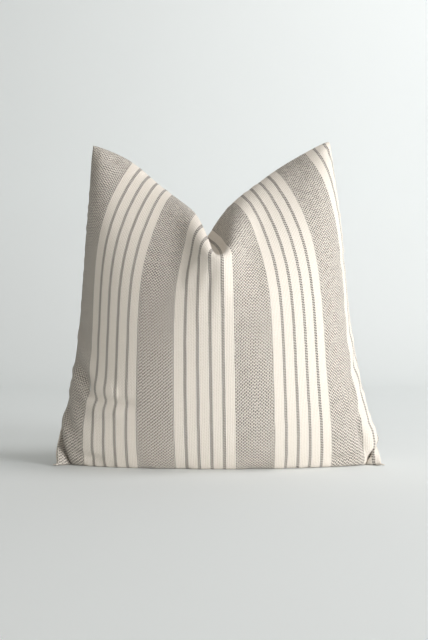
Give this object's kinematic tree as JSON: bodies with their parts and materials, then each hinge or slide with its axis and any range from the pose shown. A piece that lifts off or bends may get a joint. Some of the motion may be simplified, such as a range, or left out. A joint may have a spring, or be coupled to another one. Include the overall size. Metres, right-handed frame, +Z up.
{
  "type": "throw pillow",
  "caption": "Square knife-edge throw pillow in striped woven fabric, stuffed, top edge dented in the middle, zipped along its bottom edge.",
  "frame": {"origin": "middle of the pillow's footprint box, on the plane its flat underside rests on", "axes": "+X to the right of someone facing the front, the front face looks along -Y, +Z up; the pillow leans back towards +Y by 8 degrees"},
  "size_m": [0.4654, 0.225, 0.4751],
  "materials": {
    "striped_fabric": "matte",
    "cream_thread": "matte",
    "overlock_thread": "matte",
    "zipper_tape": "matte",
    "zipper_coil": "satin",
    "slider_metal": "satin",
    "stop_metal": "satin",
    "insert_fabric": "matte",
    "stuffing": "matte",
    "label_satin": "matte"
  },
  "bodies": {
    "cover": {"cover_front_panel": "striped_fabric", "cover_back_panel": "striped_fabric", "cover_seam_thread": "cream_thread", "seam_overlock_thread": "overlock_thread", "zipper_tape_front": "zipper_tape", "zipper_tape_back": "zipper_tape", "zipper_coil_front": "zipper_coil", "zipper_coil_back": "zipper_coil", "zipper_stitching_front": "cream_thread", "zipper_stitching_back": "cream_thread", "zipper_bottom_stop": "stop_metal", "zipper_top_stops": "stop_metal", "care_label": "label_satin", "insert_front_panel": "insert_fabric", "insert_back_panel": "insert_fabric", "insert_seam_thread": "overlock_thread", "insert_closing_stitches": "overlock_thread", "insert_fill": "stuffing", "insert_label": "label_satin"},
    "slider": {"zipper_slider": "slider_metal"},
    "pull": {"zipper_pull_tab": "slider_metal"}
  },
  "joints": [
    {"name": "zipper_slide", "type": "slide", "parent": "cover", "child": "slider", "axis": [1, 0, 0], "range_m": [-0.366, 0]},
    {"name": "pull_swing", "type": "hinge", "parent": "slider", "child": "pull", "pos_m": [0.18127, -0.01261, 0.0032], "axis": [0, -1, 0], "range_deg": [0, 176]}
  ]
}
